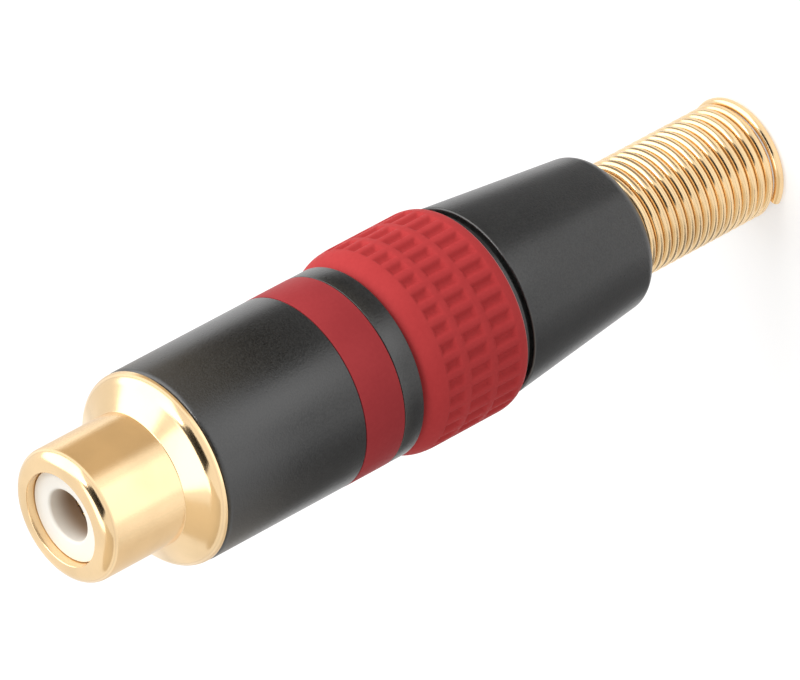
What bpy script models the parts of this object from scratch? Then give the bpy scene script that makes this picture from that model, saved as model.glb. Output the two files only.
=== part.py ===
"""In-line phono socket with a pocketed grip ring and a spring strain relief.

The socket stands on the free end of its spring. +Z runs along the axis towards the mouth,
and every turned piece is drawn as a half section (radius, height) and spun round that axis.
From the foot up come the spring, rear shell, grip ring, barrel and gold outer contact.
"""
import math

import bmesh
import bpy
from mathutils import Vector

MM = 0.001

# Clearances
PRESS_GAP = 0.05 * MM            # radial gap between pieces that are pushed together
SEAM_GAP = 0.05 * MM             # axial gap where two shoulders meet
THREAD_GAP = 0.10 * MM           # radial gap between the two halves of the screw thread
LOOSE_GAP = 0.12 * MM            # radial gap round what only slides in
SEAT_GAP = 0.09 * MM             # radial gap round the spring's seated end turn
CLAMP_GAP = 0.63 * MM            # radial gap under the cable clamp
WING_GAP = 0.20 * MM             # radial gap at the corners of the clamp's wings
TAG_GAP = 0.40 * MM              # keeps the ground tag off the centre contact

# Gold outer contact: sleeve, shoulder and shank, turned from one bar
SLEEVE_DIAMETER = 8.3 * MM
SLEEVE_LENGTH = 5.78 * MM
SLEEVE_EDGE_RADIUS = 0.8 * MM
MOUTH_DIAMETER = 5.8 * MM
MOUTH_EDGE_RADIUS = 0.08 * MM
SHOULDER_CONE_HEIGHT = 1.0 * MM
SHOULDER_LAND = 0.61 * MM
SHOULDER_EDGE_RADIUS = 0.95 * MM
SHOULDER_INSET = 0.02 * MM       # below the skin of the barrel
CORE_STEP = 0.8 * MM             # step from the mouth's bore out to the counterbore
CORE_DEPTH = 9.0 * MM            # from the mouth down to the counterbore
SHANK_WALL = 1.25 * MM
LIP_REACH = 0.4 * MM             # lip rolled over the stack in the counterbore
LIP_THICKNESS = 0.5 * MM

# White insulator and its retaining washer
FACE_RECESS = 0.55 * MM
FACE_THICKNESS = 1.9 * MM
PIN_HOLE_DIAMETER = 3.2 * MM
PIN_HOLE_EDGE = 0.2 * MM
INSULATOR_SHOULDER = 1.65 * MM
COLLAR_SEAT = 1.2 * MM
RETAINER_THICKNESS = 1.4 * MM

# Gold centre contact: slotted socket, collar and solder cup
TINE_BORE = 3.15 * MM
TINE_BORE_DEPTH = 6.2 * MM
TINE_WALL = 0.525 * MM
TINE_EDGE_RADIUS = 0.12 * MM
TINE_PLAY = 0.15 * MM            # room in which the tines spread
SLOT_WIDTH = 0.45 * MM
SLOT_DEPTH = 5.0 * MM
COLLAR_STEP = 0.5 * MM
CUP_BORE = 1.9 * MM
CUP_BORE_DEPTH = 3.0 * MM
CUP_WALL = 0.45 * MM
CUP_LENGTH = 3.6 * MM
CUP_SCOOP_LENGTH = 2.2 * MM
TAIL_STEP = 0.1 * MM             # step from the cup out to the tail

# Ground tag with its cable clamp, bent up from one strip
TAG_THICKNESS = 0.5 * MM
TAG_ARM_WIDTH = 2.6 * MM
TAG_REACH = 17.5 * MM            # from the ring to the clamp
CLAMP_DIAMETER = 4.7 * MM
CLAMP_LENGTH = 4.0 * MM

# Black barrel and its colour band
BARREL_WALL = 1.0 * MM           # over the shank
BARREL_LENGTH = 14.97 * MM
BARREL_CHAMFER = 0.35 * MM
THREAD_WALL = 0.8 * MM
THREAD_LENGTH = 6.4 * MM
THREAD_CHAMFER = 0.3 * MM
BAND_WIDTH = 3.02 * MM
BAND_DEPTH = 0.45 * MM
BAND_SETBACK = 1.46 * MM         # from the barrel's rear face to the band

# Red grip ring with its pockets
GRIP_WALL = 1.1 * MM
GRIP_REAR_DROP = 0.37 * MM       # how far the rear end rounds down below the ribs
GRIP_REAR_ROLL = 0.80 * MM       # length of that rounding
GRIP_FRONT_EDGE = 0.17 * MM      # wall left at the thin front end
GRIP_FRONT_ROLL = 2.3 * MM       # length of the soft slope down to it
POCKET_COUNT = 36
POCKET_SHARE = 0.74              # pocket width as a share of the pitch
POCKET_DEPTH = 0.25 * MM
POCKET_SLOPE = 0.16 * MM
POCKET_ROW_LENGTHS = (1.75 * MM, 1.61 * MM, 1.22 * MM)
POCKET_RIB = 0.47 * MM           # between two rows
REAR_LAND = 0.04 * MM            # plain skin between the rear rounding and the first row
FRONT_MARGIN = 1.54 * MM         # from the last row to the front end

# Black rear shell
SPIGOT_WALL = 0.7 * MM           # of the sleeve that carries the grip ring
SHELL_INSET = 0.05 * MM          # below the rolled end of the grip ring
SHELL_CONE_LENGTH = 10.85 * MM
SHELL_REAR_WALL = 1.06 * MM      # round the spring's hole
SHELL_EDGE_RADIUS = 0.85 * MM
SHELL_CHAMFER = 0.15 * MM
SHELL_FLOOR = 2.0 * MM
NECK_GROOVE_WIDTH = 0.25 * MM
NECK_GROOVE_DEPTH = 0.48 * MM
NECK_LIP_WIDTH = 0.40 * MM
NECK_LIP_DROP = 0.18 * MM

# Liner tube
LINER_WALL = 0.5 * MM
LINER_END_GAP = 0.4 * MM

# Strain relief spring, wound right-handed from its free end
WIRE_DIAMETER = 0.56 * MM
COIL_GAP = 0.07 * MM
SPRING_REACH = 11.3 * MM         # how far it stands out of the shell
END_TURN_FLAT = 0.75             # part of each end turn that lies flat
SETTLING_TURNS = 5.0             # turns in which the flat end becomes an even helix
FREE_FLARE = 0.35 * MM
SEAT_FLARE = 0.36 * MM
FREE_TIP_ANGLE = math.radians(204)

# Facets
OUTER_SEGMENTS = 40
INNER_SEGMENTS = 28
COIL_SEGMENTS = 15
WIRE_SIDES = 6
FILLET_STEPS = 3
ROLL_STEPS = 4

# Colours: (red, green, blue), roughness, metallic
GOLD = ((0.86, 0.62, 0.30), 0.18, 1.0)
BLACK = ((0.035, 0.035, 0.035), 0.42, 0.0)
RED = ((0.66, 0.055, 0.06), 0.5, 0.0)
BAND_RED = ((0.37, 0.035, 0.042), 0.55, 0.0)
WHITE = ((0.88, 0.88, 0.84), 0.4, 0.0)
TINNED = ((0.72, 0.70, 0.66), 0.35, 1.0)
CLEAR = ((0.80, 0.80, 0.78), 0.3, 0.0)

# Radii, from the mouth's bore outwards
SLEEVE_RADIUS = SLEEVE_DIAMETER / 2
MOUTH_RADIUS = MOUTH_DIAMETER / 2
CORE_RADIUS = MOUTH_RADIUS + CORE_STEP
SHANK_RADIUS = CORE_RADIUS + SHANK_WALL
BARREL_RADIUS = SHANK_RADIUS + PRESS_GAP + BARREL_WALL
SHOULDER_RADIUS = BARREL_RADIUS - SHOULDER_INSET
THREAD_RADIUS = CORE_RADIUS + THREAD_WALL
SPIGOT_RADIUS = THREAD_RADIUS + THREAD_GAP + SPIGOT_WALL
GRIP_BORE_RADIUS = SPIGOT_RADIUS + PRESS_GAP
GRIP_RADIUS = GRIP_BORE_RADIUS + GRIP_WALL
SHELL_FRONT_RADIUS = GRIP_RADIUS - GRIP_REAR_DROP - SHELL_INSET

# Radii, from the cable outwards
TINE_RADIUS = TINE_BORE / 2 + TINE_WALL
COLLAR_RADIUS = TINE_RADIUS + COLLAR_STEP
CUP_RADIUS = CUP_BORE / 2 + CUP_WALL
TAIL_RADIUS = CUP_RADIUS + TAIL_STEP
CLAMP_INNER = CLAMP_DIAMETER / 2
CLAMP_OUTER = CLAMP_INNER + TAG_THICKNESS
LINER_INNER = CLAMP_OUTER + CLAMP_GAP
LINER_OUTER = LINER_INNER + LINER_WALL
CAVITY_RADIUS = LINER_OUTER + LOOSE_GAP
SPRING_RADIUS = CAVITY_RADIUS - SEAT_GAP - SEAT_FLARE
SPRING_HOLE_RADIUS = SPRING_RADIUS + LOOSE_GAP
SHELL_REAR_RADIUS = SPRING_HOLE_RADIUS + SHELL_REAR_WALL
CLAMP_WING = math.sqrt((LINER_INNER - WING_GAP) ** 2 - CLAMP_OUTER ** 2)

# Heights outside, from the foot up
WIRE_RADIUS = WIRE_DIAMETER / 2
SHELL_REAR = SPRING_REACH
SHELL_FRONT = SHELL_REAR + SHELL_CONE_LENGTH
NECK_LIP = SHELL_FRONT + NECK_GROOVE_WIDTH
NECK_TOP = NECK_LIP + NECK_LIP_WIDTH
GRIP_REAR = NECK_TOP + SEAM_GAP
POCKETS_REAR = GRIP_REAR + GRIP_REAR_ROLL + REAR_LAND
POCKETS_FRONT = POCKETS_REAR + sum(POCKET_ROW_LENGTHS) + 2 * POCKET_RIB
GRIP_FRONT = POCKETS_FRONT + FRONT_MARGIN
BARREL_REAR = GRIP_FRONT + SEAM_GAP
BARREL_FRONT = BARREL_REAR + BARREL_LENGTH
SHOULDER_REAR = BARREL_FRONT + SEAM_GAP
SHOULDER_EDGE = SHOULDER_REAR + SHOULDER_LAND
SLEEVE_ROOT = SHOULDER_EDGE + SHOULDER_CONE_HEIGHT
MOUTH = SLEEVE_ROOT + SLEEVE_LENGTH

# Heights inside, from the mouth down
FACE = MOUTH - FACE_RECESS
FACE_REAR = FACE - FACE_THICKNESS
CORE_TOP = MOUTH - CORE_DEPTH
INSULATOR_SHOULDER_TOP = CORE_TOP - SEAM_GAP
INSULATOR_REAR = INSULATOR_SHOULDER_TOP - INSULATOR_SHOULDER
COLLAR_SEAT_TOP = INSULATOR_REAR + COLLAR_SEAT
RETAINER_TOP = INSULATOR_REAR - SEAM_GAP
RETAINER_REAR = RETAINER_TOP - RETAINER_THICKNESS
TAG_TOP = RETAINER_REAR - SEAM_GAP
TAG_REAR = TAG_TOP - TAG_THICKNESS
LIP_TOP = TAG_REAR - SEAM_GAP
SHANK_REAR = LIP_TOP - LIP_THICKNESS
CUP_END = SHANK_REAR - CUP_LENGTH
CLAMP_TOP = TAG_REAR - TAG_REACH
THREAD_REAR = BARREL_REAR - THREAD_LENGTH
SPRING_SEAT = SHELL_REAR + SHELL_FLOOR
SPRING_TOP = SPRING_SEAT + SEAM_GAP + WIRE_DIAMETER


def clear_scene():
    for old in list(bpy.data.objects):
        bpy.data.objects.remove(old, do_unlink=True)


def paint(obj, name, look):
    """Give an object its own Principled material."""
    colour, roughness, metallic = look
    material = bpy.data.materials.new(name)
    material.use_nodes = True
    shader = material.node_tree.nodes["Principled BSDF"]
    shader.inputs["Base Color"].default_value = (*colour, 1.0)
    shader.inputs["Roughness"].default_value = roughness
    shader.inputs["Metallic"].default_value = metallic
    obj.data.materials.append(material)


def add_object(name, bm, look=None):
    """Turn a bmesh into a smooth-shaded object, painted when it has a look."""
    mesh = bpy.data.meshes.new(name)
    bm.to_mesh(mesh)
    bm.free()
    mesh.shade_smooth()
    mesh.set_sharp_from_angle(angle=math.radians(32))
    obj = bpy.data.objects.new(name, mesh)
    bpy.context.collection.objects.link(obj)
    if look:
        paint(obj, name, look)
    return obj


def rounded(corners, steps=FILLET_STEPS):
    """Replace each corner (radius, height, fillet) of a section by its fillet arc."""
    points = []
    for index, corner in enumerate(corners):
        here = Vector(corner[:2])
        fillet = corner[2] if len(corner) > 2 else 0.0
        if not fillet:
            points.append(here)
            continue
        to_last = (Vector(corners[index - 1][:2]) - here).normalized()
        to_next = (Vector(corners[(index + 1) % len(corners)][:2]) - here).normalized()
        half_angle = to_last.angle(to_next) / 2
        centre = here + (to_last + to_next).normalized() * fillet / math.sin(half_angle)
        first = here + to_last * fillet / math.tan(half_angle) - centre
        sweep = first.angle_signed(here + to_next * fillet / math.tan(half_angle) - centre)
        for step in range(steps + 1):
            turn = -sweep * step / steps
            points.append(centre + Vector((
                first.x * math.cos(turn) - first.y * math.sin(turn),
                first.x * math.sin(turn) + first.y * math.cos(turn))))
    return points


def spin_section(points, segments):
    """Spin a closed section round the axis; points on the axis close it by themselves."""
    bm = bmesh.new()
    verts = [bm.verts.new((p[0], 0.0, p[1])) for p in points]
    edges = []
    for index, vert in enumerate(verts):
        after = verts[(index + 1) % len(verts)]
        if vert.co.x > 0 or after.co.x > 0:
            edges.append(bm.edges.new((vert, after)))
    bmesh.ops.spin(
        bm, geom=verts + edges, cent=(0, 0, 0), axis=(0, 0, 1),
        angle=math.tau, steps=segments, use_merge=True)
    bmesh.ops.remove_doubles(bm, verts=bm.verts, dist=0.001 * MM)
    bmesh.ops.recalc_face_normals(bm, faces=bm.faces)
    return bm


def turned(name, corners, look, segments=OUTER_SEGMENTS):
    return add_object(name, spin_section(rounded(corners), segments), look)


def box_bmesh(low, high):
    bm = bmesh.new()
    bmesh.ops.create_cube(bm, size=1.0)
    low, high = Vector(low), Vector(high)
    for vert in bm.verts:
        vert.co = Vector(low[i] + (vert.co[i] + 0.5) * (high[i] - low[i]) for i in range(3))
    return bm


def combine(obj, tool, operation):
    """Cut or join a tool with an object; the tool itself stays out of the model."""
    modifier = obj.modifiers.new(f"{operation.lower()} {tool.name}", "BOOLEAN")
    modifier.operation = operation
    modifier.solver = "EXACT"
    modifier.object = tool
    tool.hide_render = True
    tool.display_type = "WIRE"


def outer_contact():
    """Sleeve with a rounded rim, coned shoulder, plain shank and a lip rolled inwards."""
    lip_radius = CORE_RADIUS - LIP_REACH
    rim_radius = min(SLEEVE_EDGE_RADIUS, SLEEVE_RADIUS - MOUTH_RADIUS - MOUTH_EDGE_RADIUS)
    corners = [
        (MOUTH_RADIUS, CORE_TOP),
        (MOUTH_RADIUS, MOUTH, MOUTH_EDGE_RADIUS),
        (SLEEVE_RADIUS, MOUTH, rim_radius),
        (SLEEVE_RADIUS, SLEEVE_ROOT),
        (SHOULDER_RADIUS, SHOULDER_EDGE, SHOULDER_EDGE_RADIUS),
        (SHOULDER_RADIUS, SHOULDER_REAR),
        (SHANK_RADIUS, SHOULDER_REAR),
        (SHANK_RADIUS, SHANK_REAR),
        (lip_radius, SHANK_REAR),
        (lip_radius, LIP_TOP),
        (CORE_RADIUS, LIP_TOP),
        (CORE_RADIUS, CORE_TOP),
    ]
    return turned("outer_contact", corners, GOLD)


def insulator():
    """Nose that fills the sleeve, a shoulder in the counterbore and a seat for the collar."""
    hole = PIN_HOLE_DIAMETER / 2
    nose = MOUTH_RADIUS - PRESS_GAP
    shoulder = CORE_RADIUS - PRESS_GAP
    seat = COLLAR_RADIUS + PRESS_GAP
    chamber = TINE_RADIUS + TINE_PLAY
    corners = [
        (hole, FACE, PIN_HOLE_EDGE),
        (nose, FACE),
        (nose, INSULATOR_SHOULDER_TOP),
        (shoulder, INSULATOR_SHOULDER_TOP),
        (shoulder, INSULATOR_REAR),
        (seat, INSULATOR_REAR),
        (seat, COLLAR_SEAT_TOP),
        (chamber, COLLAR_SEAT_TOP),
        (chamber, FACE_REAR),
        (hole, FACE_REAR),
    ]
    return turned("insulator", corners, WHITE, INNER_SEGMENTS)


def tube(name, inner, outer, low, high, look, segments=INNER_SEGMENTS):
    corners = [(inner, high), (outer, high), (outer, low), (inner, low)]
    return turned(name, corners, look, segments)


def contact_retainer():
    """Washer that keeps the centre contact's collar in its seat."""
    return tube(
        "contact_retainer", TAIL_RADIUS + PRESS_GAP, CORE_RADIUS - PRESS_GAP,
        RETAINER_REAR, RETAINER_TOP, WHITE)


def centre_contact():
    """Socket of four tines, a collar and a solder cup that is scooped open on one side."""
    top = FACE_REAR - SEAM_GAP
    bore_end = top - TINE_BORE_DEPTH
    collar_top = COLLAR_SEAT_TOP - SEAM_GAP
    cup_floor = CUP_END + CUP_BORE_DEPTH
    corners = [
        (TINE_BORE / 2, bore_end),
        (TINE_BORE / 2, top, TINE_EDGE_RADIUS),
        (TINE_RADIUS, top, TINE_EDGE_RADIUS),
        (TINE_RADIUS, collar_top),
        (COLLAR_RADIUS, collar_top),
        (COLLAR_RADIUS, INSULATOR_REAR),
        (TAIL_RADIUS, INSULATOR_REAR),
        (TAIL_RADIUS, SHANK_REAR),
        (CUP_RADIUS, SHANK_REAR),
        (CUP_RADIUS, CUP_END),
        (CUP_BORE / 2, CUP_END),
        (CUP_BORE / 2, cup_floor),
        (0.0, cup_floor),
        (0.0, bore_end),
    ]
    contact = turned("centre_contact", corners, GOLD, INNER_SEGMENTS)
    half_slot, reach = SLOT_WIDTH / 2, 2 * TINE_RADIUS
    for index, (wide, deep) in enumerate(((reach, half_slot), (half_slot, reach))):
        slot = add_object(f"slot_cutter_{index}", box_bmesh(
            (-wide, -deep, top - SLOT_DEPTH), (wide, deep, top + SLOT_WIDTH)))
        combine(contact, slot, "DIFFERENCE")
    scoop = add_object("scoop_cutter", box_bmesh(
        (-2 * CUP_RADIUS, 0.0, CUP_END - CUP_BORE),
        (2 * CUP_RADIUS, 2 * CUP_RADIUS, CUP_END + CUP_SCOOP_LENGTH)))
    combine(contact, scoop, "DIFFERENCE")
    return contact


def clamp_section(steps=8):
    """Outline of the cable clamp: a half round trough with two upright wings."""
    angles = [math.pi * step / steps for step in range(steps + 1)]
    outline = [(CLAMP_OUTER, CLAMP_WING)]
    outline += [(CLAMP_OUTER * math.cos(a), -CLAMP_OUTER * math.sin(a)) for a in angles]
    outline += [(-CLAMP_OUTER, CLAMP_WING), (-CLAMP_INNER, CLAMP_WING)]
    outline += [(-CLAMP_INNER * math.cos(a), -CLAMP_INNER * math.sin(a)) for a in angles]
    outline.append((CLAMP_INNER, CLAMP_WING))
    return outline


def ground_tag():
    """Ring under the rolled lip, an arm through the barrel and a clamp for the cable."""
    tag = tube(
        "ground_tag", TAIL_RADIUS + TAG_GAP, CORE_RADIUS - PRESS_GAP,
        TAG_REAR, TAG_TOP, TINNED)
    arm = add_object("arm_blank", box_bmesh(
        (-TAG_ARM_WIDTH / 2, -CLAMP_OUTER, CLAMP_TOP - TAG_THICKNESS),
        (TAG_ARM_WIDTH / 2, -CLAMP_INNER, TAG_TOP - TAG_THICKNESS / 2)))
    combine(tag, arm, "UNION")

    bm = bmesh.new()
    face = bm.faces.new([
        bm.verts.new((x, y, CLAMP_TOP - CLAMP_LENGTH)) for x, y in clamp_section()])
    lifted = bmesh.ops.extrude_face_region(bm, geom=[face])
    bmesh.ops.translate(
        bm, vec=(0, 0, CLAMP_LENGTH),
        verts=[part for part in lifted["geom"] if isinstance(part, bmesh.types.BMVert)])
    bmesh.ops.recalc_face_normals(bm, faces=bm.faces)
    clamp = add_object("clamp_blank", bm)
    combine(tag, clamp, "UNION")
    return tag


def barrel():
    """Tube pushed on the shank, with a groove for the band and a threaded spigot behind."""
    front_bore = SHANK_RADIUS + PRESS_GAP
    groove = BARREL_RADIUS - BAND_DEPTH
    band_low = BARREL_REAR + BAND_SETBACK
    band_high = band_low + BAND_WIDTH
    corners = [
        (front_bore, BARREL_FRONT),
        (BARREL_RADIUS - BARREL_CHAMFER, BARREL_FRONT),
        (BARREL_RADIUS, BARREL_FRONT - BARREL_CHAMFER),
        (BARREL_RADIUS, band_high),
        (groove, band_high),
        (groove, band_low),
        (BARREL_RADIUS, band_low),
        (BARREL_RADIUS, BARREL_REAR),
        (THREAD_RADIUS, BARREL_REAR),
        (THREAD_RADIUS, THREAD_REAR + THREAD_CHAMFER),
        (THREAD_RADIUS - THREAD_CHAMFER, THREAD_REAR),
        (CORE_RADIUS, THREAD_REAR),
        (CORE_RADIUS, SHANK_REAR - SEAM_GAP),
        (front_bore, SHANK_REAR - SEAM_GAP),
    ]
    return turned("barrel", corners, BLACK)


def colour_band():
    """Flat ring that fills the barrel's groove flush with its skin."""
    low = BARREL_REAR + BAND_SETBACK + SEAM_GAP
    high = BARREL_REAR + BAND_SETBACK + BAND_WIDTH - SEAM_GAP
    return tube(
        "colour_band", BARREL_RADIUS - BAND_DEPTH + PRESS_GAP, BARREL_RADIUS,
        low, high, BAND_RED, OUTER_SEGMENTS)


def pocket_rows():
    """Heights (low, high) of the rows of pockets, from the ring's rear end up."""
    rows, height = [], POCKETS_REAR
    for length in POCKET_ROW_LENGTHS:
        rows.append((height, height + length))
        height += length + POCKET_RIB
    return rows


def grip_skin(height):
    """Radius of the ring's skin: rounded at the rear end, sloped softly down in front."""
    rear = max(0.0, 1 - (height - GRIP_REAR) / GRIP_REAR_ROLL)
    front = max(0.0, 1 - (GRIP_FRONT - height) / GRIP_FRONT_ROLL)
    rear_drop = GRIP_REAR_DROP * (1 - math.sqrt(max(0.0, 1 - rear ** 2)))
    return GRIP_RADIUS - rear_drop - (GRIP_WALL - GRIP_FRONT_EDGE) * front ** 2


def grip_section(rows):
    """Outer skin of the grip ring, from its rear end up, with a corner at each row's edges."""
    heights = [
        GRIP_REAR + GRIP_REAR_ROLL * (1 - math.cos(math.pi / 2 * step / ROLL_STEPS))
        for step in range(ROLL_STEPS + 1)]
    heights += [height for row in rows for height in row]
    heights += [
        POCKETS_FRONT + FRONT_MARGIN * step / ROLL_STEPS for step in range(1, ROLL_STEPS + 1)]
    return [(grip_skin(height), height) for height in heights]


def grip_ring():
    """Rolled-edge ring with rows of shallow pockets sunk between its ribs."""
    rows = pocket_rows()
    skin = grip_section(rows)
    section = skin + [(GRIP_BORE_RADIUS, GRIP_FRONT), (GRIP_BORE_RADIUS, GRIP_REAR)]
    pitch = math.tau / POCKET_COUNT
    angles = [
        pitch * (index + part) for index in range(POCKET_COUNT) for part in (0.0, POCKET_SHARE)]
    bm = bmesh.new()
    columns = [
        [bm.verts.new((r * math.cos(a), r * math.sin(a), z)) for r, z in section]
        for a in angles]
    pockets = []
    for i, column in enumerate(columns):
        beside = columns[(i + 1) % len(columns)]
        for j, (_, low) in enumerate(section):
            k = (j + 1) % len(section)
            face = bm.faces.new((column[j], beside[j], beside[k], column[k]))
            if i % 2 == 0 and (low, section[k][1]) in rows:
                pockets.append(face)
    bmesh.ops.recalc_face_normals(bm, faces=bm.faces)
    bmesh.ops.inset_individual(
        bm, faces=pockets, thickness=POCKET_SLOPE, depth=-POCKET_DEPTH, use_even_offset=True)
    return add_object("grip_ring", bm, RED)


def rear_shell():
    """Coned tail with a neck, and a spigot in front that carries the grip ring."""
    thread_bore = THREAD_RADIUS + THREAD_GAP
    lip = SHELL_FRONT_RADIUS - NECK_LIP_DROP
    groove = SHELL_FRONT_RADIUS - NECK_GROOVE_DEPTH
    corners = [
        (SPRING_HOLE_RADIUS, SHELL_REAR),
        (SPRING_HOLE_RADIUS, SPRING_SEAT),
        (CAVITY_RADIUS, SPRING_SEAT),
        (CAVITY_RADIUS, THREAD_REAR - THREAD_CHAMFER),
        (thread_bore, THREAD_REAR - THREAD_CHAMFER),
        (thread_bore, GRIP_FRONT),
        (SPIGOT_RADIUS, GRIP_FRONT),
        (SPIGOT_RADIUS, NECK_TOP),
        (lip, NECK_TOP),
        (lip, NECK_LIP),
        (groove, NECK_LIP),
        (groove, SHELL_FRONT),
        (SHELL_FRONT_RADIUS - SHELL_CHAMFER, SHELL_FRONT),
        (SHELL_FRONT_RADIUS, SHELL_FRONT - SHELL_CHAMFER),
        (SHELL_REAR_RADIUS, SHELL_REAR, min(SHELL_EDGE_RADIUS, SHELL_REAR_WALL)),
    ]
    return turned("rear_shell", corners, BLACK)


def liner_tube():
    """Plain tube between the seated end turn and the threaded spigot."""
    return tube(
        "liner_tube", LINER_INNER, LINER_OUTER,
        SPRING_TOP + SEAM_GAP, THREAD_REAR - LINER_END_GAP, CLEAR)


def ease(value):
    value = min(1.0, max(0.0, value))
    return value * value * (3 - 2 * value)


def settling(turn):
    """Rise, in pitches, of a turn near an end above an even helix."""
    part = turn % 1
    flat = ease((part - END_TURN_FLAT) / (1 - END_TURN_FLAT))
    fade = min(1.0, max(0.0, 1 - (turn - 1) / SETTLING_TURNS))
    return fade * (flat - part)


def strain_relief_spring():
    """Close wound coil; both end turns lie flat, flared outwards, the inner one in its seat."""
    pitch = WIRE_DIAMETER + COIL_GAP
    foot = WIRE_RADIUS * math.sin(math.tau / WIRE_SIDES)
    turns = (SPRING_TOP - WIRE_RADIUS - foot) / pitch
    coil_radius = SPRING_RADIUS - WIRE_RADIUS
    steps = math.ceil(turns * COIL_SEGMENTS)

    def place(turn):
        left = turns - turn
        height = foot + pitch * (turn + settling(turn) - settling(left))
        flare = FREE_FLARE * ease(1 - turn) + SEAT_FLARE * ease(2 * (1 - left))
        angle = FREE_TIP_ANGLE + math.tau * turn
        radius = coil_radius + flare
        return Vector((radius * math.cos(angle), radius * math.sin(angle), height))

    bm = bmesh.new()
    rings = []
    for step in range(steps + 1):
        turn = turns * step / steps
        point = place(turn)
        ahead = (place(min(turns, turn + 0.01)) - place(max(0.0, turn - 0.01))).normalized()
        upwards = ahead.cross(Vector((point.x, point.y, 0))).normalized()
        outwards = upwards.cross(ahead)
        rings.append([
            bm.verts.new(point + WIRE_RADIUS * (
                math.cos(math.tau * k / WIRE_SIDES) * outwards
                + math.sin(math.tau * k / WIRE_SIDES) * upwards))
            for k in range(WIRE_SIDES)])
    for here, after in zip(rings, rings[1:]):
        for k in range(WIRE_SIDES):
            m = (k + 1) % WIRE_SIDES
            bm.faces.new((here[k], here[m], after[m], after[k]))
    bm.faces.new(rings[0])
    bm.faces.new(reversed(rings[-1]))
    bmesh.ops.recalc_face_normals(bm, faces=bm.faces)
    return add_object("strain_relief_spring", bm, GOLD)


def hang_on(parent_name, pieces):
    """Parent the pieces of one moving group to an empty on the common axis."""
    empty = bpy.data.objects.new(parent_name, None)
    bpy.context.collection.objects.link(empty)
    for piece in pieces:
        piece.parent = empty


def build():
    clear_scene()
    hang_on("cable_end", [strain_relief_spring(), liner_tube()])
    hang_on("shell", [rear_shell(), grip_ring()])
    hang_on("socket_head", [
        outer_contact(), insulator(), centre_contact(), contact_retainer(),
        ground_tag(), barrel(), colour_band()])


build()
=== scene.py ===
"""Finished look of the in-line phono socket: turned pieces, coils, finishes, light, camera.

Lengths are in millimetres until a mesh is made. Heights run up from the foot of the spring.
The studio is laid out in metres.
"""
import math

import bmesh
import bpy
from mathutils import Matrix, Vector


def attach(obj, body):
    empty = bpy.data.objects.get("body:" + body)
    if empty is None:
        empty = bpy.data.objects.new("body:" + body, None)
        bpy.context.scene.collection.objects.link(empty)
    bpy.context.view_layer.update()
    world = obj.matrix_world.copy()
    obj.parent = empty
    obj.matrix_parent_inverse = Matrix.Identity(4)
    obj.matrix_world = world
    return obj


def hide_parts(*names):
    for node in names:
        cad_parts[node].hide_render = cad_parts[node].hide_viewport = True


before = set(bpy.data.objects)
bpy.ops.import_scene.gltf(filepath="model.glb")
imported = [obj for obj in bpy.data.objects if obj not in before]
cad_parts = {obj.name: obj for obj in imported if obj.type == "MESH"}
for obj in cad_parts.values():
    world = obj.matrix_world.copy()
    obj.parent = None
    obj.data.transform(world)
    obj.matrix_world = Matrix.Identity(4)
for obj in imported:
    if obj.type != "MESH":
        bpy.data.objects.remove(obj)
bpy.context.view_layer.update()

MM = 0.001
SEAM = 0.05                      # gap where two pieces meet
PAST = 1.0                       # how far a cutting box reaches past the piece
JOIN = 0.0005 * MM               # points closer than this are one
TURNED_SEGMENTS, INNER_SEGMENTS, CONTACT_SEGMENTS = 144, 96, 64
TURNED_CREASE, COIL_CREASE = math.radians(28), math.radians(50)

# Heights
SHELL_REAR, SPRING_SEAT = 11.3, 13.3
SHELL_FRONT, NECK_LIP, NECK_TOP = 22.15, 22.4, 22.8
GRIP_REAR, GRIP_FRONT = 22.85, 30.75
THREAD_REAR = 24.4
BARREL_REAR, BARREL_FRONT = 30.8, 45.77
BAND_LOW, BAND_HIGH = 32.26, 35.28
CUP_END, SHANK_REAR = 36.36, 39.96
INSULATOR_REAR, COLLAR_SEAT, INSULATOR_STEP = 42.51, 43.71, 44.16
SHOULDER_REAR, SHOULDER_EDGE = 45.82, 46.43
SLEEVE_ROOT = 47.43
FACE_REAR, FACE = 50.76, 52.66
MOUTH = 53.21

# Radii
SLEEVE_RADIUS, MOUTH_BORE = 4.15, 2.9
SHOULDER_RADIUS, SHANK_RADIUS = 5.98, 4.95
CORE_BORE, LIP_BORE = 3.7, 3.3
NOSE_RADIUS, CORE_RADIUS, PIN_HOLE = 2.85, 3.65, 1.6
COLLAR_BORE, TINE_HOUSING = 2.65, 2.25
TINE_RADIUS, TINE_BORE = 2.1, 1.575
COLLAR_RADIUS, TAIL_RADIUS = 2.6, 1.5
CUP_RADIUS, CUP_BORE = 1.4, 0.95
BARREL_RADIUS, BARREL_BORE = 6.0, 5.0
BAND_SEAT, BAND_BORE = 5.55, 5.6
GRIP_RADIUS, GRIP_BORE = 6.45, 5.35
SHELL_RADIUS, SHELL_TIP_RADIUS = 6.03, 4.83
NECK_RADIUS, NECK_LIP_RADIUS, NECK_BORE = 5.55, 5.85, 4.8
GRIP_SEAT, CAVITY_RADIUS, SPRING_HOLE = 5.3, 4.1, 3.77
SPRING_RADIUS, WIRE_RADIUS = 3.65, 0.295

# Lengths and widths
LIP_LENGTH = 0.5
TINE_LENGTH, TINE_DEPTH = 5.0, 6.2
SLOT_HALF_WIDTH = 0.225
CUP_DEPTH, SCOOP_LENGTH = 3.0, 2.2
BAND_PROUD = 0.01                # how far the band's paint stands over the barrel
WIRE_SEATING = 0.28              # from the middle of the wire to what it lies on
SPRING_PITCH = 0.63
SPRING_TIP = math.radians(204)

# Thread
THREAD_RADIUS, THREAD_PITCH, THREAD_TURNS = 4.5, 0.75, 8.0
THREAD_RIDGE = 0.3
THREAD_RUN_OUT = 0.3             # how far the shell's bore runs on behind the thread


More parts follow.
